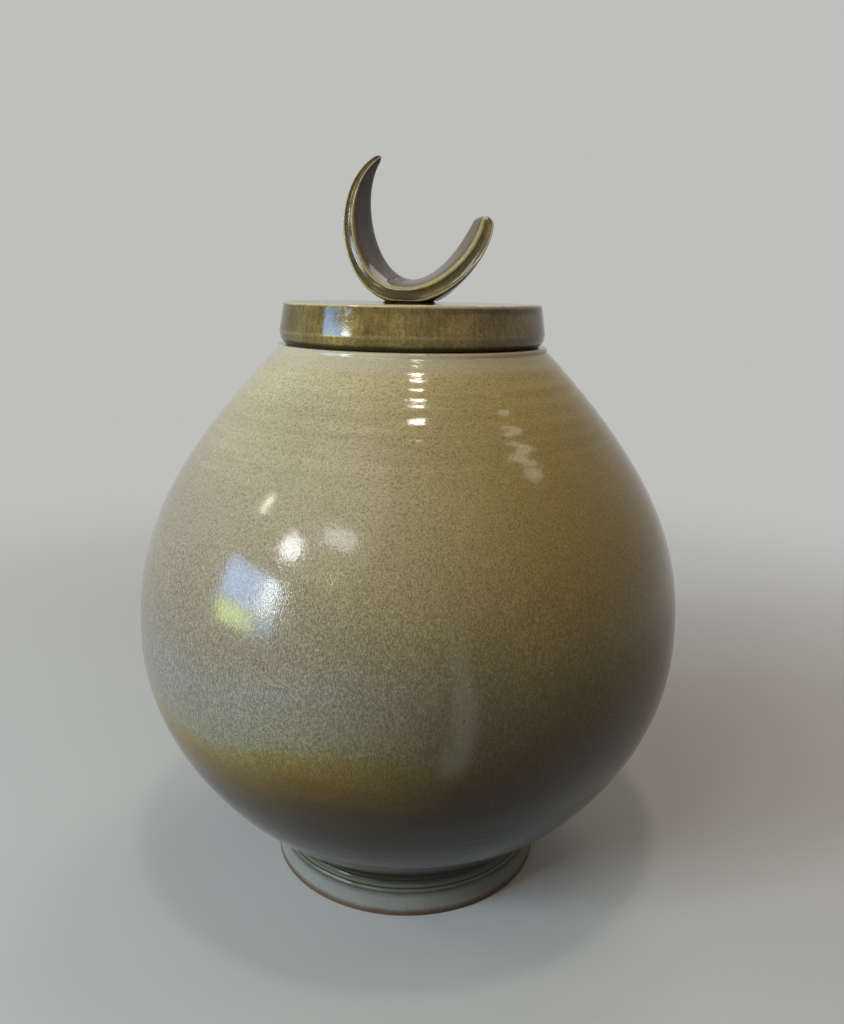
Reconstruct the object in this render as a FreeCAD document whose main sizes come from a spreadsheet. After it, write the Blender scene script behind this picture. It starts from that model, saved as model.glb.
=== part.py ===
import FreeCAD, Part
import math
import os
import Sketcher

# Lidded moon jar. Millimetres, +Z up, origin at the centre of the face that the foot stands on.
# The jar's axis is Z. Every clay piece is a body of its own, luted to its neighbours face to face.

doc = FreeCAD.newDocument("MoonJar")

# Driving sizes: alias, value, what it is
SIZES = [
    ("foot_radius", 60.8, "outer radius of the foot ring where it stands"),
    ("foot_taper", 1.8, "how much the foot ring narrows towards its top"),
    ("foot_height", 10.0, "height of the foot ring"),
    ("foot_wall", 9.0, "wall of the foot ring"),
    ("foot_edge_round", 1.2, "rounding of the foot ring's two standing edges"),
    ("ankle_step", 1.7, "how much the bowl narrows from the foot ring to its ankle"),
    ("ankle_rise", 8.5, "height of the ankle above the foot ring"),
    ("trim_line_count", 2, "trimming lines cut round the ankle"),
    ("trim_line_radius", 0.7, "radius of the tool mark of one trimming line"),
    ("trim_line_first", 1.6, "first trimming line above the foot ring"),
    ("trim_line_pitch", 3.2, "step between trimming lines"),
    ("belly_radius", 116.1, "largest radius of the jar"),
    ("belly_height", 115.0, "height of the belly seam"),
    ("ankle_reach", 28.9, "how far the bowl keeps its flare above the ankle"),
    ("ankle_angle", 59.6, "flare of the bowl at the ankle, degrees from upright"),
    ("lower_reach", 46.0, "how far the lower bowl stays upright below the belly"),
    ("hollow_reach", 10.4, "how much further the hollow stays upright below the belly"),
    ("base_thickness", 8.0, "clay under the floor"),
    ("floor_inset", 27.5, "from the ankle in to the flat of the floor"),
    ("floor_reach", 22.9, "how far the floor stays nearly level"),
    ("wall", 6.5, "wall of both thrown bowls"),
    ("upper_height", 111.0, "height of the upper bowl, from the belly seam to the neck"),
    ("upper_reach", 44.9, "how far the upper bowl stays upright above the belly"),
    ("shoulder_reach", 50.8, "how far the shoulder keeps its slope below the neck"),
    ("shoulder_angle", 43.4, "slope of the shoulder at the neck, degrees from upright"),
    ("neck_radius", 60.7, "radius of the joint under the mouth rim"),
    ("seam_band_height", 18.0, "height of the joining coil inside the belly seam"),
    ("seam_band_bulge", 3.0, "how far the joining coil stands off the wall"),
    ("seam_band_clearance", 0.3, "joining coil to the wall"),
    ("lip_step", 4.5, "how far the mouth's lip stands in from the neck"),
    ("lip_rise", 4.6, "height of the lip's foot above the neck"),
    ("lip_height", 1.8, "upright outer face of the lip"),
    ("rim_wall", 8.7, "wall of the mouth at the seat that carries the lid"),
    ("mouth_land", 3.0, "upright inner face of the mouth"),
    ("rim_round", 1.3, "rounding of the mouth's edges"),
    ("lid_gap", 0.3, "glaze gap between the seat and the lid"),
    ("lid_inset", 1.2, "widest line of the lid in from the lip"),
    ("lid_widest", 5.0, "height of the widest line above the lid's seat"),
    ("lid_tuck", 0.8, "how far the lid draws in below its widest line"),
    ("lid_lean", 2.6, "how far the lid's side leans in from its widest line to its top"),
    ("lid_height", 16.6, "height of the lid's side"),
    ("lid_bottom_round", 2.4, "rounding of the lid's bottom edge"),
    ("lid_top_round", 1.2, "rounding of the lid's top edge"),
    ("lid_plate_thickness", 6.5, "clay over the lid's hollow"),
    ("flange_clearance", 2.0, "radial play of the lid in the mouth"),
    ("flange_wall", 5.0, "wall of the lid's locating ring"),
    ("flange_depth", 8.0, "depth of the locating ring below the seat"),
    ("flange_edge_round", 1.2, "rounding of the locating ring's lower edges"),
    ("pad_radius", 11.0, "radius of the clay pad under the finial"),
    ("pad_height", 0.8, "height of the clay pad"),
    ("pad_edge_round", 0.5, "rounding of the clay pad's edge"),
    ("strap_turn_angle", -14.0, "turn of the finial about the axis, degrees"),
    ("strap_foot_offset", -1.7, "lowest point of the finial's centre line, sideways"),
    ("strap_foot_rise", 2.8, "lowest point of the centre line above the pad"),
    ("strap_front_width", 14.0, "front edge of the finial from its middle plane"),
    ("strap_back_width", 11.5, "back edge of the finial from its middle plane"),
    ("strap_front_thickness", 6.6, "thickness at the front edge, at the foot"),
    ("strap_back_thickness", 13.0, "thickness at the back edge, at the foot"),
    ("strap_toe_angle", 1.4, "how the strap toes in at the foot, degrees"),
    ("strap_corner_share", 0.16, "share of each side taken by the rounding of its corners"),
    ("tall_tip_offset", -14.1, "tip of the tall horn, sideways"),
    ("tall_tip_rise", 56.2, "tip of the tall horn above the pad"),
    ("tall_foot_reach", 24.1, "how far the tall horn runs level from the foot"),
    ("tall_tip_reach", 21.0, "how far the tall horn keeps its direction at the tip"),
    ("tall_tip_angle", 34.7, "direction of the tall horn at its tip, degrees from level"),
    ("tall_tip_width", 1.0, "half width at the tall tip"),
    ("tall_tip_thickness", 2.2, "thickness at the tall tip"),
    ("tall_taper_power", 2.1, "how late the tall horn narrows"),
    ("tall_toe_angle", 10.0, "toe of the tall horn, degrees"),
    ("short_tip_offset", 29.3, "tip of the short horn, sideways"),
    ("short_tip_rise", 33.2, "tip of the short horn above the pad"),
    ("short_foot_reach", 15.8, "how far the short horn runs level from the foot"),
    ("short_tip_reach", 13.1, "how far the short horn keeps its direction at the tip"),
    ("short_tip_angle", 82.7, "direction of the short horn at its tip, degrees from level"),
    ("short_tip_width", 4.4, "half width at the short tip"),
    ("short_tip_thickness", 5.6, "thickness at the short tip"),
    ("short_taper_power", 3.1, "how late the short horn narrows"),
    ("short_toe_angle", 26.0, "toe of the short horn, degrees"),
]
SAME_PLACE = 1e-4  # places closer than this are the same

sheet = doc.addObject("Spreadsheet::Sheet", "Sizes")
for row, (alias, value, meaning) in enumerate(SIZES, start=1):
    sheet.set(f"A{row}", meaning)
    sheet.set(f"B{row}", str(value))
    sheet.setAlias(f"B{row}", alias)
doc.recompute()


def size(alias):
    """Value of one driving size."""
    return float(sheet.get(alias))


def origin_plane(body, role):
    """The body's own origin plane with this role."""
    return next(f for f in body.Origin.OriginFeatures if f.Role == role)


def new_body(label):
    """An empty body whose label names its file."""
    body = doc.addObject("PartDesign::Body", label)
    body.Label = label
    return body


def new_sketch(body, name, role="XZ_Plane", offset=None):
    """A sketch on one of the body's origin planes, moved by offset from it."""
    sketch = body.newObject("Sketcher::SketchObject", name)
    sketch.AttachmentSupport = [(origin_plane(body, role), "")]
    sketch.MapMode = "FlatFace"
    if offset is not None:
        sketch.AttachmentOffset = offset
    return sketch


def number(owner, expression):
    """Value of an expression on the sheet."""
    return float(owner.evalExpression(expression))


def pin(sketch, element, position, across, up):
    """Hold one point of a sketch at two expressions, measured from the sketch's origin."""
    for kind, expression in (("DistanceX", across), ("DistanceY", up)):
        value = number(sketch, expression)
        if abs(value) < 1e-9:
            axis = -2 if kind == "DistanceX" else -1
            sketch.addConstraint(Sketcher.Constraint("PointOnObject", element, position, axis))
            continue
        index = sketch.addConstraint(
            Sketcher.Constraint(kind, -1, 1, element, position, value))
        sketch.setExpression(f"Constraints[{index}]", expression)


def point(sketch, across, up):
    """Starting place of a sketch point given by two expressions."""
    return FreeCAD.Vector(number(sketch, across), number(sketch, up), 0)


def add_line(sketch, start, end):
    """A straight side between two points, each a pair of expressions."""
    line = Part.LineSegment(point(sketch, *start), point(sketch, *end))
    return sketch.addGeometry(line, False)


def add_poles(sketch, curve, element, poles):
    """Pin each pole of a spline, given as pairs of expressions."""
    for index, pole in enumerate(poles):
        place = curve.getPole(index + 1)
        marker = Part.Circle(place, FreeCAD.Vector(0, 0, 1), 1.0)
        circle = sketch.addGeometry(marker, True)
        sketch.addConstraint(Sketcher.Constraint(
            "InternalAlignment:Sketcher::BSplineControlPoint", circle, 3, element, index))
        sketch.addConstraint(Sketcher.Constraint("Weight", circle, 1.0))
        pin(sketch, circle, 3, *pole)


def add_curve(sketch, poles):
    """A smooth side: one cubic Bezier curve through its first and last pole."""
    curve = Part.BSplineCurve()
    places = [point(sketch, *pole) for pole in poles]
    curve.buildFromPolesMultsKnots(places, [4, 4], [0, 1], False, 3)
    element = sketch.addGeometry(curve, False)
    add_poles(sketch, curve, element, poles)
    return element


def closed_outline(sketch, sides):
    """Join sides end to end. A side is (start, end) for a line or four poles for a curve."""
    elements = []
    for side in sides:
        if len(side) == 2:
            element = add_line(sketch, *side)
            pin(sketch, element, 1, *side[0])
        else:
            element = add_curve(sketch, side)
        elements.append(element)
    for index, element in enumerate(elements):
        following = elements[(index + 1) % len(elements)]
        if len(sides[index]) == 2:
            sketch.addConstraint(Sketcher.Constraint("Coincident", element, 2, following, 1))
    return elements


def turned(body, kind, name, sketch):
    """Revolution or Groove of a sketch, a full turn about the jar's axis."""
    feature = body.newObject(f"PartDesign::{kind}", name)
    feature.Profile = sketch
    feature.ReferenceAxis = (sketch, ["V_Axis"])
    feature.Angle = 360.0
    doc.recompute()
    return feature


def lines_through(corners):
    """Straight sides round a list of corners."""
    return [(corners[i], corners[(i + 1) % len(corners)]) for i in range(len(corners))]


def round_edges(body, base, name, radius, rings):
    """Round the circular edges at the given rings, pairs of expressions (radius, height)."""
    places = [(number(sheet, across), number(sheet, up)) for across, up in rings]
    names = []
    for index, edge in enumerate(base.Shape.Edges, start=1):
        if not isinstance(edge.Curve, Part.Circle):
            continue
        for ring_radius, ring_height in places:
            level = abs(edge.Curve.Center.z - ring_height) < SAME_PLACE
            if level and abs(edge.Curve.Radius - ring_radius) < SAME_PLACE:
                names.append(f"Edge{index}")
    fillet = body.newObject("PartDesign::Fillet", name)
    fillet.Base = (base, names)
    fillet.Radius = number(sheet, f"Sizes.{radius}")
    fillet.setExpression("Radius", f"Sizes.{radius}")
    doc.recompute()
    return fillet


# Foot ring: the turned ring that the jar stands on, luted under the lower bowl
FOOT_TOP = ("Sizes.foot_radius - Sizes.foot_taper", "Sizes.foot_height")
foot_ring = new_body("foot_ring")
foot_sketch = new_sketch(foot_ring, "foot_profile")
closed_outline(foot_sketch, lines_through([
    ("Sizes.foot_radius - Sizes.foot_wall", "0"),
    ("Sizes.foot_radius", "0"),
    FOOT_TOP,
    (f"{FOOT_TOP[0]} - Sizes.foot_wall", FOOT_TOP[1]),
]))
foot_turned = turned(foot_ring, "Revolution", "foot_turned", foot_sketch)
round_edges(foot_ring, foot_turned, "foot_edges", "foot_edge_round", [
    ("Sizes.foot_radius", "0"),
    ("Sizes.foot_radius - Sizes.foot_wall", "0"),
])

# Lower bowl: thrown bowl with a thick floor, from the foot up to the belly seam
FLARE = "Sizes.ankle_angle * 1 deg"
ANKLE = (f"{FOOT_TOP[0]} - Sizes.ankle_step", f"{FOOT_TOP[1]} + Sizes.ankle_rise")
ANKLE_POLE = (f"{ANKLE[0]} + Sizes.ankle_reach * sin({FLARE})",
              f"{ANKLE[1]} + Sizes.ankle_reach * cos({FLARE})")
BELLY = ("Sizes.belly_radius", "Sizes.belly_height")
BELLY_INSIDE = ("Sizes.belly_radius - Sizes.wall", "Sizes.belly_height")
HOLLOW_DEPTH = "Sizes.lower_reach + Sizes.hollow_reach"
FLOOR_EDGE = (f"{ANKLE[0]} - Sizes.floor_inset", f"{FOOT_TOP[1]} + Sizes.base_thickness")
FLOOR_POLE = f"{FLOOR_EDGE[0]} + Sizes.floor_reach"

lower_bowl = new_body("lower_bowl")
lower_sketch = new_sketch(lower_bowl, "lower_profile")
closed_outline(lower_sketch, [
    (("0", FOOT_TOP[1]), FOOT_TOP),
    (FOOT_TOP, ANKLE),
    (ANKLE, ANKLE_POLE, (BELLY[0], f"{BELLY[1]} - Sizes.lower_reach"), BELLY),
    (BELLY, BELLY_INSIDE),
    (BELLY_INSIDE, (BELLY_INSIDE[0], f"{BELLY[1]} - ({HOLLOW_DEPTH})"),
     (FLOOR_POLE, FLOOR_EDGE[1]), FLOOR_EDGE),
    (FLOOR_EDGE, ("0", FLOOR_EDGE[1])),
    (("0", FLOOR_EDGE[1]), ("0", FOOT_TOP[1])),
])
turned(lower_bowl, "Revolution", "lower_turned", lower_sketch)

# Trimming lines: round tool marks cut in rings between the foot and the bowl
trim_sketch = new_sketch(lower_bowl, "trim_profile")
for line in range(int(size("trim_line_count"))):
    rise = f"(Sizes.trim_line_first + {line} * Sizes.trim_line_pitch)"
    line_radius = f"{FOOT_TOP[0]} - Sizes.ankle_step * {rise} / Sizes.ankle_rise"
    line_height = f"{FOOT_TOP[1]} + {rise}"
    mark = Part.Circle(point(trim_sketch, line_radius, line_height),
                       FreeCAD.Vector(0, 0, 1), size("trim_line_radius"))
    circle = trim_sketch.addGeometry(mark, False)
    pin(trim_sketch, circle, 3, line_radius, line_height)
    bound = trim_sketch.addConstraint(
        Sketcher.Constraint("Radius", circle, size("trim_line_radius")))
    trim_sketch.setExpression(f"Constraints[{bound}]", "Sizes.trim_line_radius")
turned(lower_bowl, "Groove", "trim_lines", trim_sketch)

# Upper bowl: the second thrown bowl, joined mouth down on the belly seam
SLOPE = "Sizes.shoulder_angle * 1 deg"
NECK = ("Sizes.neck_radius", "Sizes.belly_height + Sizes.upper_height")
NECK_INSIDE = (f"{NECK[0]} - Sizes.wall / cos({SLOPE})", NECK[1])
NECK_POLE_UP = f"{NECK[1]} - Sizes.shoulder_reach * cos({SLOPE})"
NECK_POLE_OUT = f"Sizes.shoulder_reach * sin({SLOPE})"
BELLY_POLE_UP = "Sizes.belly_height + Sizes.upper_reach"

upper_bowl = new_body("upper_bowl")
upper_sketch = new_sketch(upper_bowl, "upper_profile")
closed_outline(upper_sketch, [
    (BELLY_INSIDE, BELLY),
    (BELLY, (BELLY[0], BELLY_POLE_UP), (f"{NECK[0]} + {NECK_POLE_OUT}", NECK_POLE_UP), NECK),
    (NECK, NECK_INSIDE),
    (NECK_INSIDE, (f"{NECK_INSIDE[0]} + {NECK_POLE_OUT}", NECK_POLE_UP),
     (BELLY_INSIDE[0], BELLY_POLE_UP), BELLY_INSIDE),
])
turned(upper_bowl, "Revolution", "upper_turned", upper_sketch)

# Seam coil: the coil of clay worked over the joint of the two bowls, on the inside.
# Its back follows the wall: a Bezier curve that starts upright, with its second pole at a reach
# and its third pole drawn in by a spread, has drawn in by rise^2 * spread / (3 * reach^2).
COIL_BACK = f"{BELLY_INSIDE[0]} - Sizes.seam_band_clearance"
COIL_FRONT = f"{COIL_BACK} - Sizes.seam_band_bulge"
COIL_HALF = "Sizes.seam_band_height / 2"
LOW_DRAW = f"({COIL_HALF})^2 * ({BELLY_INSIDE[0]} - ({FLOOR_POLE})) / (3 * ({HOLLOW_DEPTH})^2)"
HIGH_DRAW = (f"({COIL_HALF})^2 * ({BELLY_INSIDE[0]} - ({NECK_INSIDE[0]} + {NECK_POLE_OUT}))"
             " / (3 * Sizes.upper_reach^2)")
COIL_LOW = (f"{COIL_BACK} - {LOW_DRAW}", f"{BELLY[1]} - {COIL_HALF}")
COIL_HIGH = (f"{COIL_BACK} - {HIGH_DRAW}", f"{BELLY[1]} + {COIL_HALF}")

seam_coil = new_body("seam_coil")
coil_sketch = new_sketch(seam_coil, "coil_profile")
closed_outline(coil_sketch, [
    (COIL_LOW, (COIL_BACK, BELLY[1])),
    ((COIL_BACK, BELLY[1]), COIL_HIGH),
    (COIL_HIGH, (COIL_FRONT, f"{BELLY[1]} + Sizes.seam_band_height / 3"),
     (COIL_FRONT, f"{BELLY[1]} - Sizes.seam_band_height / 3"), COIL_LOW),
])
turned(seam_coil, "Revolution", "coil_turned", coil_sketch)

# Mouth rim: thickened ring with the flat seat that carries the lid
LIP = f"{NECK[0]} - Sizes.lip_step"
LIP_FOOT = f"{NECK[1]} + Sizes.lip_rise"
RIM_TOP = f"{LIP_FOOT} + Sizes.lip_height"
MOUTH = f"{LIP} - Sizes.rim_wall"
mouth_rim = new_body("mouth_rim")
rim_sketch = new_sketch(mouth_rim, "rim_profile")
closed_outline(rim_sketch, lines_through([
    NECK_INSIDE,
    NECK,
    (LIP, LIP_FOOT),
    (LIP, RIM_TOP),
    (MOUTH, RIM_TOP),
    (MOUTH, f"{RIM_TOP} - Sizes.mouth_land"),
]))
rim_turned = turned(mouth_rim, "Revolution", "rim_turned", rim_sketch)
round_edges(mouth_rim, rim_turned, "rim_edges", "rim_round", [(LIP, RIM_TOP), (MOUTH, RIM_TOP)])

# Lid plate: flat topped cap with a slightly flared side and a hollow underneath
SEAT = f"{RIM_TOP} + Sizes.lid_gap"
LID_TOP = f"{SEAT} + Sizes.lid_height"
LID_WIDEST = f"{LIP} - Sizes.lid_inset"
LID_SEAT_EDGE = (f"{LID_WIDEST} - Sizes.lid_tuck", SEAT)
LID_TOP_EDGE = (f"{LID_WIDEST} - Sizes.lid_lean", LID_TOP)
RING_OUTSIDE = f"{MOUTH} - Sizes.flange_clearance"
RING_INSIDE = f"{RING_OUTSIDE} - Sizes.flange_wall"
HOLLOW_TOP = f"{LID_TOP} - Sizes.lid_plate_thickness"

lid_plate = new_body("lid_plate")
lid_sketch = new_sketch(lid_plate, "lid_profile")
closed_outline(lid_sketch, lines_through([
    (RING_INSIDE, SEAT),
    LID_SEAT_EDGE,
    (LID_WIDEST, f"{SEAT} + Sizes.lid_widest"),
    LID_TOP_EDGE,
    ("0", LID_TOP),
    ("0", HOLLOW_TOP),
    (RING_INSIDE, HOLLOW_TOP),
]))
lid_turned = turned(lid_plate, "Revolution", "lid_turned", lid_sketch)
lid_rounded = round_edges(lid_plate, lid_turned, "lid_bottom_edge", "lid_bottom_round",
                          [LID_SEAT_EDGE])
round_edges(lid_plate, lid_rounded, "lid_top_edge", "lid_top_round", [LID_TOP_EDGE])

# Lid flange: the ring under the lid that keeps it centred in the mouth
lid_flange = new_body("lid_flange")
flange_sketch = new_sketch(lid_flange, "flange_profile")
FLANGE_END = f"{SEAT} - Sizes.flange_depth"
closed_outline(flange_sketch, lines_through([
    (RING_INSIDE, FLANGE_END),
    (RING_OUTSIDE, FLANGE_END),
    (RING_OUTSIDE, SEAT),
    (RING_INSIDE, SEAT),
]))
flange_turned = turned(lid_flange, "Revolution", "flange_turned", flange_sketch)
round_edges(lid_flange, flange_turned, "flange_edges", "flange_edge_round", [
    (RING_INSIDE, FLANGE_END),
    (RING_OUTSIDE, FLANGE_END),
])

# Finial pad: the flattened button of clay that fixes the finial to the lid
PAD_TOP = f"{LID_TOP} + Sizes.pad_height"
pad_top_height = number(sheet, PAD_TOP)
strap_turn = FreeCAD.Rotation(FreeCAD.Vector(0, 0, 1), size("strap_turn_angle"))
strap_placement = FreeCAD.Placement(FreeCAD.Vector(0, 0, 0), strap_turn)

finial_pad = new_body("finial_pad")
pad_plane = FreeCAD.Placement(
    FreeCAD.Vector(0, 0, number(sheet, LID_TOP)), FreeCAD.Rotation())
pad_sketch = new_sketch(finial_pad, "pad_outline", "XY_Plane", pad_plane)
pad_sketch.setExpression("AttachmentOffset.Base.z", LID_TOP)
pad_circle = pad_sketch.addGeometry(Part.Circle(
    FreeCAD.Vector(size("strap_foot_offset"), 0, 0), FreeCAD.Vector(0, 0, 1),
    size("pad_radius")), False)
pin(pad_sketch, pad_circle, 3, "Sizes.strap_foot_offset", "0")
pad_bound = pad_sketch.addConstraint(
    Sketcher.Constraint("Radius", pad_circle, size("pad_radius")))
pad_sketch.setExpression(f"Constraints[{pad_bound}]", "Sizes.pad_radius")
pad_block = finial_pad.newObject("PartDesign::Pad", "pad_block")
pad_block.Profile = pad_sketch
pad_block.Length = size("pad_height")
pad_block.setExpression("Length", "Sizes.pad_height")
doc.recompute()
round_edges(finial_pad, pad_block, "pad_edge", "pad_edge_round", [
    ("Sizes.pad_radius", PAD_TOP),
])
finial_pad.Placement = strap_placement

# Crescent finial: a tapering strap bent up into two horns, the left one taller.
# Its centre line is two cubic Bezier curves that meet level at the foot. Each section is a
# softened four-sided figure, thicker at the back, and the strap toes in towards its tips.
TALL = "tall"
SHORT = "short"
SIDEWAYS = {TALL: -1.0, SHORT: 1.0}
SECTION_SHARES = {TALL: [1.0, 0.92, 0.78, 0.6, 0.4, 0.2], SHORT: [0.2, 0.4, 0.6, 0.78, 0.92, 1.0]}


def horn_poles(horn):
    """Poles of one horn's centre line, from the foot to the tip, in the finial's own plane."""
    foot = FreeCAD.Vector(size("strap_foot_offset"), 0, pad_top_height + size("strap_foot_rise"))
    tip = FreeCAD.Vector(size(f"{horn}_tip_offset"), 0,
                         pad_top_height + size(f"{horn}_tip_rise"))
    angle = math.radians(size(f"{horn}_tip_angle"))
    run = FreeCAD.Vector(math.cos(angle), 0, math.sin(angle))
    level = FreeCAD.Vector(SIDEWAYS[horn] * size(f"{horn}_foot_reach"), 0, 0)
    return foot, foot + level, tip - run * size(f"{horn}_tip_reach"), tip


def horn_place(horn, share):
    """Point of the centre line at a share of the horn, and its outward direction."""
    a, b, c, d = horn_poles(horn)
    rest = 1 - share
    place = a * rest**3 + b * (3 * rest**2 * share) + c * (3 * rest * share**2) + d * share**3
    along = ((b - a) * (3 * rest**2) + (c - b) * (6 * rest * share) + (d - c) * (3 * share**2))
    along.normalize()
    outward = FreeCAD.Vector(0, 1, 0).cross(along) * SIDEWAYS[horn]
    return place, outward


def tapered(foot_size, tip_size, horn, share):
    """Expression for a size that goes from its foot value to its tip value."""
    return (f"({foot_size} + (Sizes.{horn}_{tip_size} - {foot_size})"
            f" * {share} ^ Sizes.{horn}_taper_power)")


def strap_section(name, horn, share):
    """Sketch of the strap's section, square to the centre line."""
    place, outward = horn_place(horn, share)
    depth = FreeCAD.Vector(0, 1, 0)
    turn = FreeCAD.Rotation(outward, depth, outward.cross(depth), "XYZ")
    upright = FreeCAD.Placement(FreeCAD.Vector(0, 0, 0),
                                FreeCAD.Rotation(FreeCAD.Vector(1, 0, 0), 90))
    offset = upright.inverse().multiply(FreeCAD.Placement(place, turn))
    sketch = new_sketch(crescent, name, "XZ_Plane", offset)
    front = tapered("Sizes.strap_front_width", "tip_width", horn, share)
    back = tapered("Sizes.strap_back_width", "tip_width", horn, share)
    front_half = "(" + tapered("Sizes.strap_front_thickness", "tip_thickness", horn, share) + " / 2)"
    back_half = "(" + tapered("Sizes.strap_back_thickness", "tip_thickness", horn, share) + " / 2)"
    gain = f"(Sizes.{horn}_toe_angle - Sizes.strap_toe_angle) * {share}"
    toe = f"tan((Sizes.strap_toe_angle + {gain}) * 1 deg)"
    corners = [
        (f"{front} * {toe} + {front_half}", f"0 - {front}"),
        (f"0 - {back} * {toe} + {back_half}", back),
        (f"0 - {back} * {toe} - {back_half}", back),
        (f"{front} * {toe} - {front_half}", f"0 - {front}"),
    ]
    poles = []
    for index, corner in enumerate(corners):
        before = corners[index - 1]
        after = corners[(index + 1) % len(corners)]
        for neighbour in (before, after):
            poles.append(tuple(
                f"({here}) + (({there}) - ({here})) * Sizes.strap_corner_share"
                for here, there in zip(corner, neighbour)))
    curve = Part.BSplineCurve()
    places = [point(sketch, *pole) for pole in poles]
    curve.buildFromPolesMultsKnots(places, [1] * (len(poles) + 1),
                                   list(range(len(poles) + 1)), True, 3)
    element = sketch.addGeometry(curve, False)
    add_poles(sketch, curve, element, poles)
    return sketch


crescent = new_body("crescent_finial")
sections = []
for tall_share in SECTION_SHARES[TALL]:
    sections.append(strap_section(f"tall_section_{len(sections)}", TALL, tall_share))
sections.append(strap_section("foot_section", SHORT, 0.0))
for short_share in SECTION_SHARES[SHORT]:
    sections.append(strap_section(f"short_section_{len(sections)}", SHORT, short_share))
doc.recompute()
strap_loft = crescent.newObject("PartDesign::AdditiveLoft", "strap_loft")
strap_loft.Profile = sections[0]
strap_loft.Sections = sections[1:]
strap_loft.Ruled = False
doc.recompute()

# The strap is pressed flat where it stands on its pad
press_plane = FreeCAD.Placement(FreeCAD.Vector(0, 0, pad_top_height), FreeCAD.Rotation())
press_sketch = new_sketch(crescent, "pressed_flat", "XY_Plane", press_plane)
press_sketch.setExpression("AttachmentOffset.Base.z", PAD_TOP)
closed_outline(press_sketch, lines_through([
    (f"0 - ({LID_WIDEST})", f"0 - ({LID_WIDEST})"),
    (LID_WIDEST, f"0 - ({LID_WIDEST})"),
    (LID_WIDEST, LID_WIDEST),
    (f"0 - ({LID_WIDEST})", LID_WIDEST),
]))
pressed = crescent.newObject("PartDesign::Pocket", "pressed_foot")
pressed.Profile = press_sketch
pressed.Length = size("lid_height")
pressed.setExpression("Length", "Sizes.lid_height")
doc.recompute()
crescent.Placement = strap_placement
doc.recompute()

# Check every object, then write each piece
pieces = [foot_ring, lower_bowl, seam_coil, upper_bowl, mouth_rim,
          lid_plate, lid_flange, finial_pad, crescent]

for item in doc.Objects:
    if "Invalid" in item.State or "Error" in item.State:
        raise RuntimeError(f"{item.Label} failed: {item.State}")

os.makedirs("parts", exist_ok=True)
for piece in pieces:
    shape = piece.Shape
    if shape.isNull() or not shape.isValid():
        raise RuntimeError(f"{piece.Label} has no valid shape")
    box = shape.BoundBox
    print(f"{piece.Label}: {len(shape.Solids)} solid, {shape.Volume / 1000:.1f} cm3, "
          f"z {box.ZMin:.2f} to {box.ZMax:.2f}, x {box.XMin:.2f} to {box.XMax:.2f}")
for piece in pieces:
    piece.Shape.exportStep(os.path.join("parts", piece.Label + ".step"))
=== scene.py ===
import math

import bpy
import numpy as np
from mathutils import Matrix, Vector


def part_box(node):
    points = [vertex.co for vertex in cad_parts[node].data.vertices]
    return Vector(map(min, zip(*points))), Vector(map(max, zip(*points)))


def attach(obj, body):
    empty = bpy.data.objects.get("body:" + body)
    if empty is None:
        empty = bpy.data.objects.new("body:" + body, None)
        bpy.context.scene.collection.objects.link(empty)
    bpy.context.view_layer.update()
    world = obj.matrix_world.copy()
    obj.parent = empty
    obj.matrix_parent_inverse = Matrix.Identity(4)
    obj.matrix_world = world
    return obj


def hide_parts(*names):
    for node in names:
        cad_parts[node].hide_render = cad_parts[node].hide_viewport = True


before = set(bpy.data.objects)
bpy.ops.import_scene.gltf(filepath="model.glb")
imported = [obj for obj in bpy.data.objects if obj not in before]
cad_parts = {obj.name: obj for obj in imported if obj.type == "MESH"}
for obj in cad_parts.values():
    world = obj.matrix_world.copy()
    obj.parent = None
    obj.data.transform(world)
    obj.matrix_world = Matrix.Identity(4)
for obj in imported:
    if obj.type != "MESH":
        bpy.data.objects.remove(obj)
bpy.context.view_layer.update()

# Foot ring. A ring of stoneware turned on the wheel and luted under the bowl. It wears a pale
# grey celadon, wiped off the standing edge, where iron in the clay burns to a brown line.
# Lengths are in millimetres up to the studio, and become metres where a mesh is made.
MM = 0.001
FINE_STEP = 0.1
SIDES = 360
FOOT_RADIUS = 60.8
FOOT_TAPER = 1.8
FOOT_WALL = 9.0
FOOT_ROUNDING = 0.55
FOOT_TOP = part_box("foot_ring")[1][2] / MM


def recut(outline, step):
    """The outline cut again between the same ends, into steps of this length. The step is one
    number, or one for each point of the outline. Outlines are rows of (radius, height)."""
    outline = np.asarray(outline, float)
    run = np.concatenate([[0.0], np.cumsum(np.hypot(*np.diff(outline, axis=0).T))])
    rate = np.ones(len(outline)) / step
    count = np.concatenate([[0.0], np.cumsum(np.diff(run) * (rate[1:] + rate[:-1]) / 2)])
    wanted = np.linspace(0.0, count[-1], max(1, round(count[-1])) + 1)
    places = np.interp(wanted, count, run)
    return np.stack([np.interp(places, run, outline[:, k]) for k in (0, 1)], axis=1)


def softened(outline, blur):
    """The outline with its corners rubbed round: each point becomes the mean of its neighbours
    under a bell curve of this width, and the two ends stay."""
    line = recut(outline, FINE_STEP)
    reach = math.ceil(3 * blur / FINE_STEP)
    bell = np.exp(-0.5 * (np.arange(-reach, reach + 1) * FINE_STEP / blur) ** 2)
    bell /= bell.sum()
    before = 2 * line[0] - line[reach:0:-1]
    after = 2 * line[-1] - line[-2:-reach - 2:-1]
    padded = np.concatenate([before, line, after])
    return np.stack([np.convolve(padded[:, k], bell, "valid") for k in (0, 1)], axis=1)


def normals_of(points, plain):
    """Normals of a grid of points, rows along the outline and columns round it: the step round
    crossed with the step along. Where the two have no area, the plain normals stand in."""
    across = np.roll(points, -1, axis=1) - np.roll(points, 1, axis=1)
    facing = np.cross(across, np.gradient(points, axis=0))
    length = np.linalg.norm(facing, axis=2, keepdims=True)
    return np.where(length > 1e-9, facing / np.maximum(length, 1e-12), plain)


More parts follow.
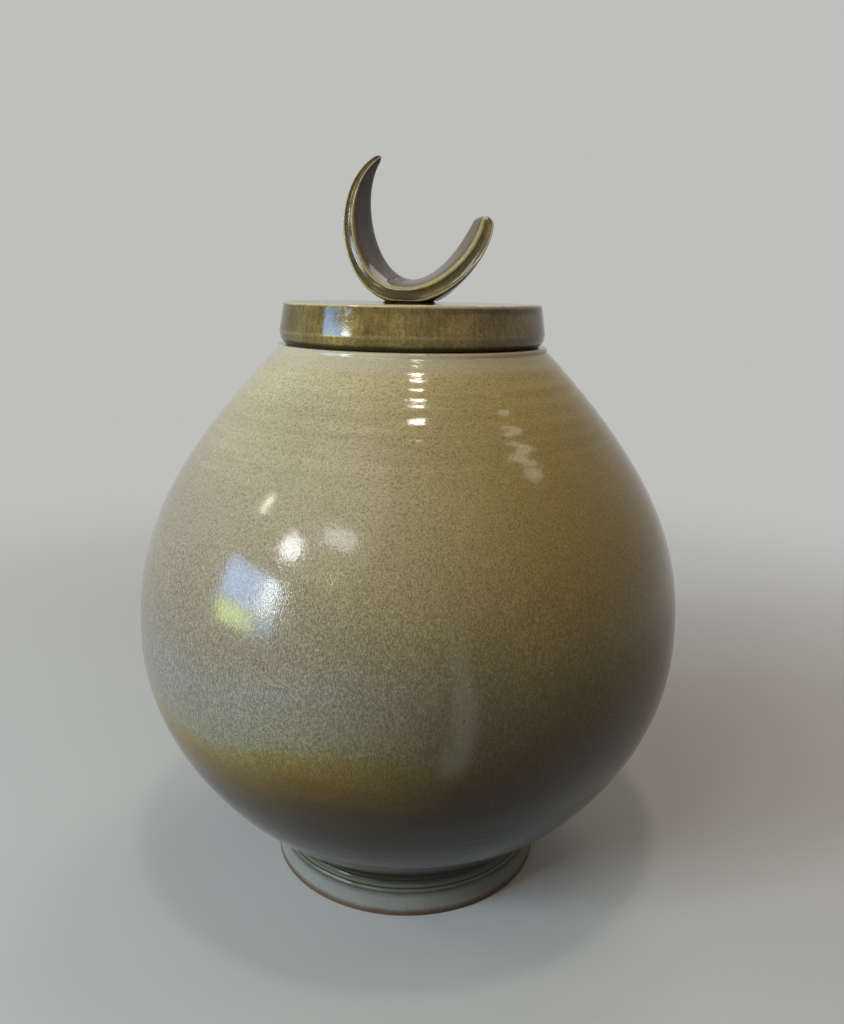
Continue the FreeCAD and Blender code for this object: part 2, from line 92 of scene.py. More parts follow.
def turned(outline, relief=None):
    """A band of clay: radius r and height z of the outline carried round as (r cos t, r sin t, z),
    with its normals. relief(turn, height) is how far a point stands off, square to the outline."""
    outline = np.asarray(outline, float)
    along = np.gradient(outline, axis=0)
    along /= np.linalg.norm(along, axis=1, keepdims=True)
    turn, radius = np.meshgrid(np.arange(SIDES) * math.tau / SIDES, outline[:, 0])
    height = np.repeat(outline[:, 1:], SIDES, axis=1)
    push = relief(turn, height) if relief else np.zeros_like(turn)
    spread = radius + along[:, 1:] * push
    rise = height - along[:, :1] * push
    points = np.stack([spread * np.cos(turn), spread * np.sin(turn), rise], axis=2)
    plain = np.stack([along[:, 1:] * np.cos(turn), along[:, 1:] * np.sin(turn),
                      -along[:, :1] * np.ones_like(turn)], axis=2)
    return points, normals_of(points, plain)


def skin(name, bands, finishes, closed=True, thin=None):
    """A closed skin from bands that follow each other: the last ring of each is the first of the
    next, and the last of all meets the first. Where it isn't closed so, its first and last rings
    are drawn together into a point each. Every face keeps the normals of its own band. The finish
    is one material, or a list with one for each band."""
    finishes = finishes if isinstance(finishes, list) else [finishes] * len(bands)
    materials = list(dict.fromkeys(finishes))
    points = np.concatenate([bands[0][0][:1]] + [points[1:] for points, _ in bands])
    rings, sides = len(points) - closed, points.shape[1]
    index = np.arange(rings * sides).reshape(rings, sides)
    if not closed:
        index[0] = index[0, 0]
        index[-1] = index[-1, 0]
    low = index if closed else index[:-1]
    high = np.roll(index, -1, axis=0) if closed else index[1:]
    corners = np.stack([low, np.roll(low, -1, 1), np.roll(high, -1, 1), high], axis=2)
    facing = np.concatenate([np.stack([n[:-1], np.roll(n[:-1], -1, 1), np.roll(n[1:], -1, 1), n[1:]],
                                      axis=2) for _, n in bands])
    number = np.concatenate([np.full((len(points) - 1, sides), materials.index(finish))
                             for (points, _), finish in zip(bands, finishes)])
    used = np.unique(index)
    renumbered = np.zeros(rings * sides, int)
    renumbered[used] = np.arange(len(used))
    strips = [(slice(None), [0, 1, 2, 3])] if closed else [
        (slice(1, -1), [0, 1, 2, 3]), (slice(0, 1), [0, 2, 3]), (slice(-1, None), [0, 1, 2])]
    faces, face_normals, face_numbers = [], [], []
    for strip, keep in strips:
        faces += renumbered[corners[strip][:, :, keep]].reshape(-1, len(keep)).tolist()
        face_normals.append(facing[strip][:, :, keep].reshape(-1, 3))
        face_numbers.append(number[strip].ravel())
    mesh = bpy.data.meshes.new(name)
    mesh.from_pydata(points[:rings].reshape(-1, 3)[used] * MM, [], faces)
    for material in materials:
        mesh.materials.append(material)
    mesh.polygons.foreach_set("material_index", np.concatenate(face_numbers))
    if thin is not None:
        thin_and_highlight = mesh.attributes.new("thin", "FLOAT", "POINT")
        thin_and_highlight.data.foreach_set("value", thin.ravel()[used].astype(np.float32))
    mesh.shade_smooth()
    mesh.normals_split_custom_set(np.concatenate(face_normals))
    piece = bpy.data.objects.new(name, mesh)
    bpy.context.scene.collection.objects.link(piece)
    return piece


class Share:
    """A value that changes over a surface. Arithmetic on it adds Math nodes to its own tree."""

    def __init__(self, recipe, socket):
        self.recipe = recipe
        self.socket = socket

    def math(self, operation, first, second=0.0):
        return self.recipe.add("ShaderNodeMath", {"operation": operation}, {0: first, 1: second})

    def __add__(self, other):
        return self.math("ADD", self, other)

    __radd__ = __add__

    def __mul__(self, other):
        return self.math("MULTIPLY", self, other)

    __rmul__ = __mul__

    def __sub__(self, other):
        return self.math("SUBTRACT", self, other)

    def __rsub__(self, other):
        return self.math("SUBTRACT", other, self)

    def __abs__(self):
        return self.math("ABSOLUTE", self)

    def ramp(self, low, high):
        """0 at low and 1 at high, eased between; low may be the greater."""
        return self.recipe.add("ShaderNodeMapRange", {"interpolation_type": "SMOOTHSTEP"},
                               {"Value": self, "From Min": low, "From Max": high})


class NodeTree:
    """The nodes of a material or of the surroundings, none at first."""

    def __init__(self, owner):
        owner.use_nodes = True
        self.tree = owner.node_tree
        self.tree.nodes.clear()

    def add(self, kind, settings=None, sockets=None, output=0):
        """A node of this kind: its settings first, then a value or a link for each socket."""
        node = self.tree.nodes.new(kind)
        for name, value in (settings or {}).items():
            if name == "stops":
                for _ in value[2:]:
                    node.color_ramp.elements.new(1.0)
                for stop, (position, colour) in zip(node.color_ramp.elements, value):
                    stop.position = position
                    stop.color = colour
            else:
                setattr(node, name, value)
        for key, value in (sockets or {}).items():
            if isinstance(value, Share):
                self.tree.links.new(value.socket, node.inputs[key])
            else:
                node.inputs[key].default_value = value
        return Share(self, node.outputs[output]) if node.outputs else node

    def other(self, share, output):
        """Another output of the node that a value comes from."""
        return Share(self, share.socket.node.outputs[output])

    def blend(self, share, first, second):
        """The first colour where the share is 0, the second where it is 1."""
        return self.add("ShaderNodeMix", {"data_type": "RGBA"}, {0: share, 6: first, 7: second},
                        output=2)


class Recipe(NodeTree):
    """The node tree of one finish. Places are read in millimetres from the piece's own origin,
    which is the jar's."""

    def __init__(self, name):
        self.material = bpy.data.materials.new(name)
        super().__init__(self.material)
        metres = self.add("ShaderNodeTexCoord", output="Object")
        self.place = self.add("ShaderNodeVectorMath", {"operation": "SCALE"},
                              {0: metres, "Scale": 1.0 / MM})
        self.x = self.add("ShaderNodeSeparateXYZ", sockets={0: self.place}, output="X")
        self.y = self.other(self.x, "Y")
        self.height = self.other(self.x, "Z")
        level = self.add("ShaderNodeVectorMath", {"operation": "MULTIPLY"},
                         {0: self.place, 1: (1.0, 1.0, 0.0)})
        self.radius = self.add("ShaderNodeVectorMath", {"operation": "LENGTH"}, {0: level},
                               output="Value")

    def stretched(self, size, stretch, shift=0.0):
        """The place measured in steps of this many millimetres, longer by a factor each way."""
        return self.add("ShaderNodeVectorMath", {"operation": "MULTIPLY_ADD"},
                        {0: self.place, 1: tuple(1.0 / (size * factor) for factor in stretch),
                         2: (shift, shift, shift)})

    def noise(self, size, detail=2.0, stretch=(1.0, 1.0, 1.0), shift=0.0):
        """Cloudy noise about 0, from -0.5 to 0.5, in lumps of this many millimetres."""
        cloud = self.add("ShaderNodeTexNoise", sockets={
            "Vector": self.stretched(size, stretch, shift), "Scale": 1.0, "Detail": detail})
        return cloud - 0.5

    def cells(self, size, feature="F1", warp=0.0):
        """Distance inside cells of this many millimetres, from their middle or their edge."""
        place = self.stretched(size, (1.0, 1.0, 1.0))
        if warp:
            sway = self.add("ShaderNodeTexNoise", sockets={"Vector": place, "Scale": 0.7},
                            output="Color")
            place = self.add("ShaderNodeVectorMath", {"operation": "MULTIPLY_ADD"},
                             {0: sway, 1: (warp, warp, warp), 2: place})
        return self.add("ShaderNodeTexVoronoi", {"feature": feature},
                        {"Vector": place, "Scale": 1.0}, "Distance")

    def specks(self, size, spacing, share):
        """Ragged specks of this size, in a share of the cells of this spacing."""
        distance = self.cells(spacing)
        draw = self.add("ShaderNodeSeparateColor", sockets={0: self.other(distance, "Color")})
        ragged = distance * spacing + self.noise(size * 0.6, 1.0) * size * 0.5
        return ragged.ramp(size * 0.6, size * 0.35) * draw.ramp(share, share - 0.01)

    def ladder(self, value, steps):
        """A colour for a value, read between steps of (value, colour)."""
        low, high = steps[0][0], steps[-1][0]
        share = self.add("ShaderNodeMapRange", {}, {"Value": value, "From Min": low, "From Max": high})
        stops = [((mark - low) / (high - low), tone(*colour)) for mark, colour in steps]
        return self.add("ShaderNodeValToRGB", {"stops": stops}, {0: share})

    def scaled(self, colour, share):
        """The colour made lighter or darker by a factor."""
        return self.add("ShaderNodeVectorMath", {"operation": "SCALE"}, {0: colour, "Scale": share})

    def finish(self, colour, roughness, relief, **fixed):
        """Join everything into the shader. The relief is a height in millimetres."""
        bump = self.add("ShaderNodeBump", sockets={"Height": relief, "Distance": MM})
        sockets = {"Base Color": colour, "Roughness": roughness, "Normal": bump}
        sockets.update({name.replace("_", " "): value for name, value in fixed.items()})
        shader = self.add("ShaderNodeBsdfPrincipled", sockets=sockets)
        self.add("ShaderNodeOutputMaterial", sockets={"Surface": shader})
        return self.material


def tone(red, green, blue):
    """A colour as the eye reads it, 0 to 255, in the linear light that shaders work in."""
    part = np.array([red, green, blue]) / 255.0
    linear = np.where(part <= 0.04045, part / 12.92, ((part + 0.055) / 1.055) ** 2.4)
    return (*linear.tolist(), 1.0)


# Colours by height: the toasted edge, the iron line, the pale glaze and the dark joint.
FOOT_BANDS = [
    (0.0, (118, 94, 72)), (0.9, (96, 70, 50)), (1.7, (92, 72, 56)), (2.5, (124, 116, 101)),
    (3.6, (144, 143, 134)), (7.5, (138, 139, 130)), (9.2, (112, 111, 97)), (10.0, (72, 66, 46))]


def celadon_glaze():
    """Thin pale glaze over turned clay, with an iron line above the bare standing edge."""
    recipe = Recipe("celadon_glaze")
    edge = recipe.height + recipe.noise(9.0, 2.0) * 0.9 + recipe.noise(1.6, 1.0) * 0.5
    colour = recipe.ladder(edge, FOOT_BANDS)
    colour = recipe.scaled(colour, 1.0 + recipe.noise(18.0, 3.0) * 0.22)
    colour = recipe.scaled(colour, 1.0 + recipe.noise(1.2, 2.0) * 0.22)
    colour = recipe.blend(recipe.specks(0.7, 7.0, 0.12), colour, tone(62, 48, 34))
    rings = recipe.noise(0.7, 2.0, (60.0, 60.0, 1.0))
    bare = edge.ramp(2.2, 1.2)
    relief = rings * 0.06 + recipe.noise(1.1, 3.0) * 0.03
    return recipe.finish(colour, 0.22 + bare * 0.5 + rings * 0.08, relief)


foot_glaze = celadon_glaze()
foot_inside = FOOT_RADIUS - FOOT_WALL
foot_side = softened([(FOOT_RADIUS - FOOT_TAPER - FOOT_WALL, FOOT_TOP), (foot_inside, 0.0),
                      (FOOT_RADIUS, 0.0), (FOOT_RADIUS - FOOT_TAPER, FOOT_TOP)], FOOT_ROUNDING)
foot_side[:, 1] = np.maximum(foot_side[:, 1], 0.0)
foot = skin("glazed_foot_ring", [turned(recut(foot_side, 0.3)), turned(foot_side[[-1, 0]])],
            foot_glaze)
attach(foot, "jar")
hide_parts("foot_ring")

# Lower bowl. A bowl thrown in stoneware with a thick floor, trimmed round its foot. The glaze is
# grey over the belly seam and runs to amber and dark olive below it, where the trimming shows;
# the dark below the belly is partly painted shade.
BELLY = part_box("lower_bowl")[1][0] / MM
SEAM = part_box("lower_bowl")[1][2] / MM
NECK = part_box("mouth_rim")[1][0] / MM
NECK_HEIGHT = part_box("upper_bowl")[1][2] / MM
RIM_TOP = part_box("mouth_rim")[1][2] / MM
WALL = 6.5
ANKLE_STEP = 1.7
ANKLE_RISE = 8.5
ANKLE_REACH = 28.9
ANKLE_ANGLE = math.radians(59.6)
LOWER_REACH = 46.0
UPPER_REACH = 44.9
SHOULDER_REACH = 50.8
SHOULDER_ANGLE = math.radians(43.4)
HOLLOW_REACH = 56.4
FLOOR_HEIGHT = FOOT_TOP + 8.0
FLOOR_INSET = 27.5
FLOOR_REACH = 22.9
LIP_STEP = 4.5
LIP_HEIGHT = 1.8
LIP_CHAMFER = 0.7
WALL_ROUNDING = 0.35
TRIM_LINES = (11.6, 14.8)
TRIM_RADIUS = 0.7
TRIM_SHARE = 0.55
RING_PITCH = 6.1
RING_RISE = 0.075
RIDGE_PITCH = 9.5
RIDGE_RISE = 0.28
GLAZE_SPECULAR = 0.36


def curved(start, first, second, end, share=np.linspace(0.0, 1.0, 800)):
    """Cubic curve through its two ends, drawn towards the two poles between, at these shares t of
    its way: all four weighted by (1-t)^3, 3(1-t)^2 t, 3(1-t) t^2 and t^3."""
    t = share[:, None]
    start, first, second, end = (np.array(pole, float) for pole in (start, first, second, end))
    return (start * (1 - t) ** 3 + first * 3 * (1 - t) ** 2 * t
            + second * 3 * (1 - t) * t ** 2 + end * t ** 3)


def eased(low, high, value):
    """0 below low and 1 above high, 3s^2 - 2s^3 between; low may be the greater."""
    share = np.clip((value - low) / (high - low), 0.0, 1.0)
    return share * share * (3.0 - 2.0 * share)


def cut_at(outline, heights, steps):
    """The outline cut at these heights and each part cut again in its own steps. Returns the
    parts joined, and the row where each cut lies."""
    marks = [0] + [int(np.argmin(np.abs(outline[:, 1] - height))) for height in heights]
    marks.append(len(outline) - 1)
    parts, cuts = [], [0]
    for start, end, step in zip(marks, marks[1:], steps):
        part = outline[start:end + 1]
        part = recut(part, step(part[:, 1]) if callable(step) else step)
        parts.append(part if not parts else part[1:])
        cuts.append(cuts[-1] + len(part) - 1)
    return np.concatenate(parts), cuts[1:-1]


def wall_relief(turn, height):
    """How the outside leaves a true round: a slow hand wobble that fades out at foot and neck,
    throwing rings that climb the shoulder as a spiral, and two trimming lines round the ankle."""
    free = eased(20.0, 60.0, height) * eased(222.0, 190.0, height)
    wobble = (0.14 * np.cos(2 * turn + 0.6 + height / 90.0) + 0.07 * np.cos(3 * turn - 1.1)
              + 0.10 * np.sin(height / 11.0 + 0.4 * np.cos(turn)))
    spiral = np.cos(math.tau * height / RING_PITCH + turn + 1.3 * np.sin(height / 17.0))
    rings = RING_RISE * spiral * eased(186.0, 206.0, height) * eased(229.0, 224.0, height)
    trims = sum(np.sqrt(np.maximum(TRIM_RADIUS ** 2 - (height - line) ** 2, 0.0))
                for line in TRIM_LINES)
    return free * wobble + rings - TRIM_SHARE * trims


ankle = (FOOT_RADIUS - FOOT_TAPER - ANKLE_STEP, FOOT_TOP + ANKLE_RISE)
ankle_pole = (ankle[0] + ANKLE_REACH * math.sin(ANKLE_ANGLE),
              ankle[1] + ANKLE_REACH * math.cos(ANKLE_ANGLE))
shoulder_out = SHOULDER_REACH * math.sin(SHOULDER_ANGLE)
shoulder_down = NECK_HEIGHT - SHOULDER_REACH * math.cos(SHOULDER_ANGLE)
lip = NECK - LIP_STEP
outside = softened(np.concatenate([
    [(FOOT_RADIUS - FOOT_TAPER, FOOT_TOP)],
    curved(ankle, ankle_pole, (BELLY, SEAM - LOWER_REACH), (BELLY, SEAM)),
    curved((BELLY, SEAM), (BELLY, SEAM + UPPER_REACH), (NECK + shoulder_out, shoulder_down),
           (NECK, NECK_HEIGHT))[1:],
    [(lip, RIM_TOP - LIP_HEIGHT), (lip, RIM_TOP - LIP_CHAMFER), (lip - LIP_CHAMFER, RIM_TOP)],
]), WALL_ROUNDING)
outside, (belly_row, neck_row) = cut_at(outside, (SEAM, NECK_HEIGHT), (
    lambda height: 0.22 + 1.9 * eased(17.0, 34.0, height),
    lambda height: 2.0 - 1.1 * eased(170.0, 196.0, height),
    0.2))
outside_wall = turned(outside, wall_relief)

inside_neck = NECK - WALL / math.cos(SHOULDER_ANGLE)
floor_edge = ankle[0] - FLOOR_INSET


def hollow_relief(turn, height):
    """Throwing ridges left by the fingers inside, one climbing spiral that fades out at floor
    and neck."""
    ridges = np.cos(math.tau * height / RIDGE_PITCH + turn + 0.8 * np.sin(height / 23.0))
    return RIDGE_RISE * ridges * eased(19.0, 40.0, height) * eased(225.0, 205.0, height)


hollow = np.concatenate([
    curved((inside_neck, NECK_HEIGHT), (inside_neck + shoulder_out, shoulder_down),
           (BELLY - WALL, SEAM + UPPER_REACH), (BELLY - WALL, SEAM)),
    curved((BELLY - WALL, SEAM), (BELLY - WALL, SEAM - HOLLOW_REACH),
           (floor_edge + FLOOR_REACH, FLOOR_HEIGHT), (floor_edge, FLOOR_HEIGHT))[1:],
    [(0.0, FLOOR_HEIGHT)]])
hollow, (hollow_row,) = cut_at(hollow, (SEAM,), (1.7, 2.2))
hollow_wall = turned(hollow, hollow_relief)


def rows(band, start, end):
    """Rows start to end of a band, both included."""
    return tuple(part[start:end + 1] for part in band)


# Colours of the jar by the level of its glaze, and of its ankle by height. Partly they are painted
# light and shade: the jar's run lighter up the shoulder, which faces the light, and dark below the
# belly, and the ankle's are dark in the trimmed grooves and above them, painted shade under the belly.
JAR_BANDS = [
    (14.0, (32, 26, 12)), (34.0, (34, 28, 12)), (54.0, (44, 34, 14)), (70.0, (70, 53, 20)),
    (82.0, (112, 86, 32)), (91.0, (138, 118, 62)), (97.0, (142, 134, 108)),
    (116.0, (147, 140, 125)), (128.0, (151, 138, 114)), (150.0, (163, 147, 117)),
    (176.0, (176, 161, 130)), (204.0, (186, 171, 135)), (218.0, (202, 188, 148)),
    (234.0, (204, 188, 155))]
ANKLE_TONES_AND_SHADE = [
    (10.0, (86, 84, 68)), (10.9, (112, 112, 98)), (11.6, (40, 36, 24)), (12.4, (116, 117, 105)),
    (13.9, (84, 81, 62)), (14.8, (32, 28, 17)), (15.6, (70, 64, 45)), (16.6, (38, 32, 18)),
    (19.0, (36, 30, 16))]
# The tint of the painted shade on the right of the jar.
RIGHT_SHADE_TINT = (0.76, 0.62, 0.12)


def glaze_bands_and_painted_light(recipe, level):
    """The glaze's colour by its level on the jar, cloudy, with painted light over it: painted shade
    that makes it darker and more olive to the right, a painted grey sheen to the left, and
    painted shade low on the right."""
    # The ladder is partly painted light and shade: lighter up the shoulder, dark under the belly.
    colour = recipe.ladder(level, JAR_BANDS)
    clouds = recipe.noise(34.0, 4.0, (1.0, 1.0, 1.3), 3.0)
    colour = recipe.scaled(colour, 1.0 + clouds * 0.28)
    # Painted shade: darker and more olive towards the right.
    olive = recipe.add("ShaderNodeVectorMath", {"operation": "MULTIPLY"}, {0: colour, 1: RIGHT_SHADE_TINT})
    colour = recipe.blend(recipe.x.ramp(-60.0, 70.0) * 0.9, colour, olive)
    # Painted sheen: the left side is blended towards a pale grey.
    painted_sheen = recipe.x.ramp(-20.0, -112.0) * level.ramp(86.0, 118.0) * level.ramp(228.0, 170.0) * 0.45
    colour = recipe.blend(painted_sheen, colour, tone(140, 130, 122))
    # Painted shade: the low part of the right side is made darker.
    painted_low_shade = level.ramp(150.0, 90.0) * recipe.x.ramp(-40.0, 36.0) * 0.65
    return recipe.scaled(colour, 1.0 - painted_low_shade)


def glaze_run(recipe):
    """1 along the run of thick pale glaze that hangs down the front, 0 beside it."""
    beside = abs(recipe.x - 17.0 + recipe.noise(30.0, 2.0) * 14.0)
    upright = recipe.height.ramp(165.0, 116.0) * recipe.height.ramp(94.0, 104.0)
    return beside.ramp(7.0, 1.5) * upright * recipe.y.ramp(-60.0, -90.0)


def trimmed_and_shaded_ankle(recipe, colour):
    """The colour, and below it the ankle with the trimming tool's lines, darkened in the grooves
    and above them as painted shade under the belly.
    """
    ring = recipe.height + recipe.noise(11.0, 2.0) * 0.5
    # Painted shade in the trimmed grooves and under the belly.
    return recipe.blend(ring.ramp(22.0, 17.0), colour, recipe.ladder(ring, ANKLE_TONES_AND_SHADE))


def reduced_glaze():
    """The jar's feldspar glaze, banded with height: cream over the shoulder, grey at the belly seam,
    amber that climbs at the front, and dark olive below. The bands are partly the glaze and partly
    painted light and shade, lighter up the shoulder and darker under the belly, with more painted
    shade to the right and a painted sheen to the left. It carries mottle, crackle, fine wrinkles,
    one run, iron specks, pinholes and the marks of throwing and trimming."""
    recipe = Recipe("jar_glaze")
    drift = recipe.noise(52.0, 3.0) * 10.0 + recipe.noise(13.0, 3.0, shift=7.0) * 7.0
    climb = recipe.x.ramp(-75.0, -25.0) * recipe.x.ramp(60.0, 15.0) * 6.0
    level = recipe.height + drift - 4.0 - climb
    colour = glaze_bands_and_painted_light(recipe, level)
    mottle = recipe.noise(0.55, 2.0)
    colour = recipe.scaled(colour, 1.0 + mottle * 1.1)
    brown = recipe.noise(0.75, 2.0, shift=11.0).ramp(0.0, 0.16)
    brown = brown * (0.16 + level.ramp(104.0, 150.0) * 0.26)
    colour = recipe.blend(brown, colour, tone(104, 80, 58))
    crackle = recipe.cells(1.15, "DISTANCE_TO_EDGE", 0.9).ramp(0.13, 0.0)
    crackle = crackle * level.ramp(168.0, 122.0) * level.ramp(66.0, 92.0)
    colour = recipe.blend(crackle * 0.35, colour, tone(80, 68, 48))
    wrinkle = abs(recipe.noise(1.25, 1.0, (0.75, 0.75, 2.0), 9.0)).ramp(0.11, 0.0) - 0.33
    wrinkle = wrinkle * (level.ramp(185.0, 130.0) * 0.75 + 0.25) * level.ramp(60.0, 96.0)
    colour = recipe.scaled(colour, 1.0 + wrinkle * 0.42)
    colour = recipe.blend(glaze_run(recipe) * 0.16, colour, tone(190, 186, 168))
    low = level.ramp(94.0, 78.0)
    strokes = recipe.noise(0.9, 2.0, (90.0, 90.0, 1.0)) + recipe.noise(3.6, 1.0, (70.0, 70.0, 1.0))
    ring_marks = recipe.noise(2.6, 2.0, (45.0, 45.0, 1.0), 5.0) * recipe.height.ramp(178.0, 200.0)
    colour = recipe.scaled(colour, 1.0 + strokes * low * 0.34 + ring_marks * 0.3)
    colour = recipe.blend(recipe.specks(0.8, 9.0, 0.13) * 0.85, colour, tone(52, 38, 24))
    pinholes = recipe.specks(0.7, 10.0, 0.14) * low
    colour = recipe.blend(pinholes * 0.6, colour, tone(164, 150, 112))
    colour = trimmed_and_shaded_ankle(recipe, colour)
    lip_edge = recipe.height.ramp(NECK_HEIGHT - 3.0, NECK_HEIGHT + 2.0) * 0.5
    colour = recipe.blend(lip_edge, colour, tone(184, 174, 152))
    relief = (recipe.noise(6.0, 2.0) * 0.06 + mottle * 0.012 + recipe.noise(2.1, 2.0) * 0.015
              + strokes * low * 0.06 + wrinkle * 0.012 - crackle * 0.008)
    roughness = 0.08 + mottle * 0.06 + crackle * 0.10
    return recipe.finish(colour, roughness, relief, Specular_IOR_Level=GLAZE_SPECULAR)


def bare_stoneware():
    """Fired clay without glaze: buff, toasted in patches, with dark grog and fine turning."""
    recipe = Recipe("bare_clay")
    toast = recipe.noise(16.0, 3.0).ramp(-0.2, 0.25)
    colour = recipe.blend(toast, tone(168, 146, 118), tone(146, 114, 84))
    colour = recipe.scaled(colour, 1.0 + recipe.noise(0.5, 3.0) * 0.35)
    colour = recipe.blend(recipe.specks(0.5, 3.4, 0.2), colour, tone(70, 54, 40))
    relief = recipe.noise(0.6, 2.0, (40.0, 40.0, 1.0)) * 0.06 + recipe.noise(0.35, 2.0) * 0.06
    return recipe.finish(colour, 0.78 + toast * 0.08, relief)


def lining_glaze():
    """The thinner pale olive glaze that lines the jar, with crackle and iron specks."""
    recipe = Recipe("lining_glaze")
    colour = recipe.ladder(recipe.height, [(18.0, (104, 94, 58)), (60.0, (138, 128, 92)),
                                           (150.0, (150, 142, 110)), (230.0, (158, 150, 120))])
    colour = recipe.scaled(colour, 1.0 + recipe.noise(24.0, 4.0) * 0.25)
    colour = recipe.scaled(colour, 1.0 + recipe.noise(1.4, 2.0) * 0.4)
    net = recipe.cells(3.0, "DISTANCE_TO_EDGE", 0.9).ramp(0.05, 0.0)
    colour = recipe.blend(net * 0.4, colour, tone(86, 74, 50))
    colour = recipe.blend(recipe.specks(0.8, 8.0, 0.14), colour, tone(54, 40, 26))
    return recipe.finish(colour, 0.16 + net * 0.1, recipe.noise(2.4, 2.0) * 0.06 - net * 0.02)


jar_glaze = reduced_glaze()
bare_clay = bare_stoneware()
inside_glaze = lining_glaze()
foot_joint = outside[0, 0]
lower = skin("glazed_lower_bowl", [
    turned(recut([(0.0, FOOT_TOP), (foot_inside - FOOT_TAPER, FOOT_TOP)], 3.0)),
    turned([(foot_inside - FOOT_TAPER, FOOT_TOP), (foot_joint, FOOT_TOP)]),
    rows(outside_wall, 0, belly_row),
    turned([outside[belly_row], hollow[hollow_row]]),
    rows(hollow_wall, hollow_row, len(hollow)),
], [foot_glaze, foot_glaze, jar_glaze, jar_glaze, inside_glaze], closed=False)
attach(lower, "jar")
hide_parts("lower_bowl")

# Seam coil. A soft coil of clay pressed over the joint of the two bowls from the inside, through
# the mouth, so its face keeps the dents of the fingers that worked it in.
COIL_SLIP = 0.3
COIL_EDGE = 0.3
COIL_BULGE = 3.0
COIL_BACK = BELLY - WALL - COIL_SLIP
COIL_LOW, COIL_TOP = (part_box("seam_coil")[side][2] / MM for side in (0, 1))
DENTS = 46
DENT_DEPTH = 0.45


def coil_relief(turn, height):
    """Finger dents side by side round the coil, deepest at mid height and none at its edges."""
    middle = 1.0 - ((height - SEAM) / (COIL_TOP - SEAM)) ** 2
    dents = np.cos(DENTS * turn + 1.4 * np.sin(3 * turn) + (height - SEAM) / 4.0)
    return DENT_DEPTH * dents * np.maximum(middle, 0.0)


coil_edge = COIL_BACK - COIL_EDGE
coil_front = COIL_BACK - COIL_BULGE
third = (COIL_TOP - COIL_LOW) / 3
coil_face = recut(curved((coil_edge, COIL_TOP), (coil_front, SEAM + third),
                         (coil_front, SEAM - third), (coil_edge, COIL_LOW)), 0.8)
coil_back = recut([(coil_edge, COIL_LOW), (COIL_BACK, SEAM), (coil_edge, COIL_TOP)], 4.5)
coil = skin("finger_pressed_seam_coil", [turned(coil_face, coil_relief), turned(coil_back)],
            inside_glaze)
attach(coil, "jar")
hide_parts("seam_coil")

# Upper bowl. The second thrown bowl, set mouth down on the first and trimmed at the seam. Its
# throwing rings still show under the glaze where the shoulder closes in to the neck.
upper = skin("glazed_upper_bowl", [
    rows(outside_wall, belly_row, neck_row),
    turned([outside[neck_row], hollow[0]]),
    rows(hollow_wall, 0, hollow_row),
    turned([hollow[hollow_row], outside[belly_row]]),
], [jar_glaze, jar_glaze, inside_glaze, inside_glaze])
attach(upper, "jar")
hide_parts("upper_bowl")

# Mouth rim. A thicker ring turned at the neck, with a low lip outside. Its flat seat is wiped
# bare, so that the lid doesn't fuse to it in the kiln.
RIM_WALL = 8.7
MOUTH_LAND = 3.0
MOUTH_CHAMFER = 1.0
MOUTH_ROUNDING = 0.3
SEAT_GLAZE_STOP = 52.6
mouth = lip - RIM_WALL
seat_start = outside[-1]
glazed_seat = turned(recut([seat_start, (SEAT_GLAZE_STOP, RIM_TOP)], 0.8))
bare_seat = turned(recut([(SEAT_GLAZE_STOP, RIM_TOP), (mouth + MOUTH_CHAMFER, RIM_TOP)], 0.8))
mouth_turn = softened([(mouth + MOUTH_CHAMFER, RIM_TOP), (mouth, RIM_TOP - MOUTH_CHAMFER),
                       (mouth, RIM_TOP - MOUTH_LAND), hollow[0]], MOUTH_ROUNDING)
rim = skin("glazed_mouth_rim", [
    rows(outside_wall, neck_row, len(outside)),
    glazed_seat,
    bare_seat,
    turned(recut(mouth_turn, 0.35)),
    turned([hollow[0], outside[neck_row]]),
], [jar_glaze, jar_glaze, bare_clay, inside_glaze, inside_glaze])
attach(rim, "jar")
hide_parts("mouth_rim")

# Lid plate. A flat cap turned in stoneware, hollow underneath. Its olive glaze turns cream where
# it runs thin on the top edge, pools dark along the bottom, and stops short of the seat. Painted
# shade darkens the bottom edge, the top and the far left.
LID_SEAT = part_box("lid_plate")[0][2] / MM
LID_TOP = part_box("lid_plate")[1][2] / MM
LID_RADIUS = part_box("lid_plate")[1][0] / MM
LID_WIDEST = LID_SEAT + 5.0
LID_UNDERCUT = 2.2
LID_BEAD, LID_BEAD_RISE = 0.45, 1.9
LID_SWELL = 0.05
LID_LEAN = 1.9
LID_EDGE = 6.0
LID_ROUNDING = 0.5
LID_CLAY = 6.5
HOLLOW_ROUNDING = 0.8
RING_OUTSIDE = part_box("lid_flange")[1][0] / MM
RING_WALL = 5.0
GLAZE_STOP = 52.2
OLIVE_SPECULAR = 0.42


def lid_relief(turn, height):
    """A slow wobble of the side and the top, less than a tenth of a millimetre."""
    return 0.05 * np.cos(2 * turn + 1.0) + 0.04 * np.cos(5 * turn + height / 3.0)


